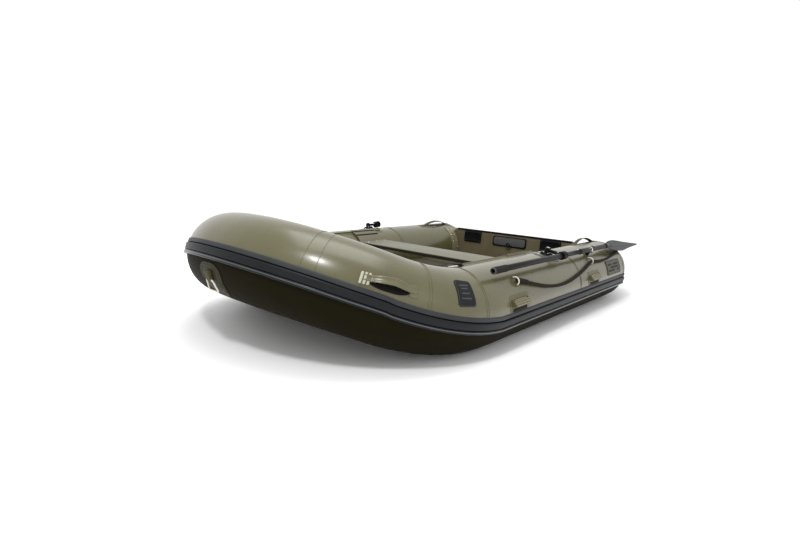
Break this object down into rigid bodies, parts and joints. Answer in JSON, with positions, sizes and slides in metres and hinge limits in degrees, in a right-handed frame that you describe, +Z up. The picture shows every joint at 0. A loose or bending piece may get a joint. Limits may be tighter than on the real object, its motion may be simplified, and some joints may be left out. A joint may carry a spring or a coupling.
{
  "type": "inflatable boat",
  "caption": "Inflatable boat with raised bow, plywood transom, rubbing strakes, a stowed oar that swings out on its pin, a sliding bench and side handles.",
  "frame": {"origin": "on the ground under the middle of the boat's length and beam", "axes": "+X forward to the bow, +Y to port, +Z up"},
  "size_m": [3.169, 1.9314, 0.6499],
  "materials": {
    "hull_fabric": "satin coated fabric",
    "moulded_rubber": "moulded",
    "strake_rubber": "matte",
    "patch_fabric": "satin coated fabric",
    "deck_foam": "matte",
    "transom_ply": "painted",
    "bench_ply": "painted",
    "black_plastic": "matte",
    "grey_plastic": "matte",
    "black_tube": "satin",
    "foam_grip": "matte",
    "blade_plastic": "satin",
    "bright_steel": "polished",
    "webbing": "woven",
    "rope": "braided",
    "badge_plastic": "moulded"
  },
  "bodies": {
    "hull": {"air_valves": "black_plastic", "bottom_skin": "hull_fabric", "bow_tube": "hull_fabric", "drain_plug": "black_plastic", "floor_deck": "deck_foam", "motor_pad_inner": "grey_plastic", "motor_pad_outer": "black_plastic", "port_bow_handle": "moulded_rubber", "port_bow_quarter_tube": "hull_fabric", "port_bow_strake": "strake_rubber", "port_grab_line": "rope", "port_hull_plates": "badge_plastic", "port_inner_strap": "moulded_rubber", "port_line_rings": "bright_steel", "port_oar_clip": "black_plastic", "port_oarlock_base": "black_plastic", "port_scoop_handles": "moulded_rubber", "port_seat_rail": "moulded_rubber", "port_shoulder_tube": "hull_fabric", "port_side_strake": "strake_rubber", "port_side_tube": "hull_fabric", "port_stern_cone": "hull_fabric", "port_transom_flange": "patch_fabric", "starboard_bow_handle": "moulded_rubber", "starboard_bow_quarter_tube": "hull_fabric", "starboard_bow_strake": "strake_rubber", "starboard_grab_line": "rope", "starboard_hull_plates": "badge_plastic", "starboard_inner_strap": "moulded_rubber", "starboard_line_rings": "bright_steel", "starboard_oarlock_base": "black_plastic", "starboard_scoop_handles": "moulded_rubber", "starboard_seat_rail": "moulded_rubber", "starboard_shoulder_tube": "hull_fabric", "starboard_side_strake": "strake_rubber", "starboard_side_tube": "hull_fabric", "starboard_stern_cone": "hull_fabric", "starboard_transom_flange": "patch_fabric", "tow_patch": "patch_fabric", "tow_ring": "bright_steel", "tow_webbing": "webbing", "transom_board": "transom_ply", "transom_side_pads": "black_plastic", "transom_trim": "black_plastic"},
    "port_oar": {"port_oar_blade": "blade_plastic", "port_oar_grip": "foam_grip", "port_oar_shaft": "black_tube", "port_rowlock": "black_plastic"},
    "starboard_rowlock": {"starboard_rowlock": "black_plastic"},
    "bench": {"bench_board": "bench_ply", "port_bench_bracket": "black_tube", "starboard_bench_bracket": "black_tube"}
  },
  "joints": [
    {"name": "port_oar_swing", "type": "hinge", "parent": "hull", "child": "port_oar", "pos_m": [-0.178, 0.77366, 0.41541], "axis": [0, -0.2079, -0.9781], "range_deg": [0, 120]},
    {"name": "starboard_rowlock_swing", "type": "hinge", "parent": "hull", "child": "starboard_rowlock", "pos_m": [-0.178, -0.77366, 0.41541], "axis": [0, -0.2079, 0.9781], "range_deg": [0, 120]},
    {"name": "bench_slide", "type": "slide", "parent": "hull", "child": "bench", "axis": [1, 0, 0], "range_m": [-0.07, 0.43]}
  ]
}
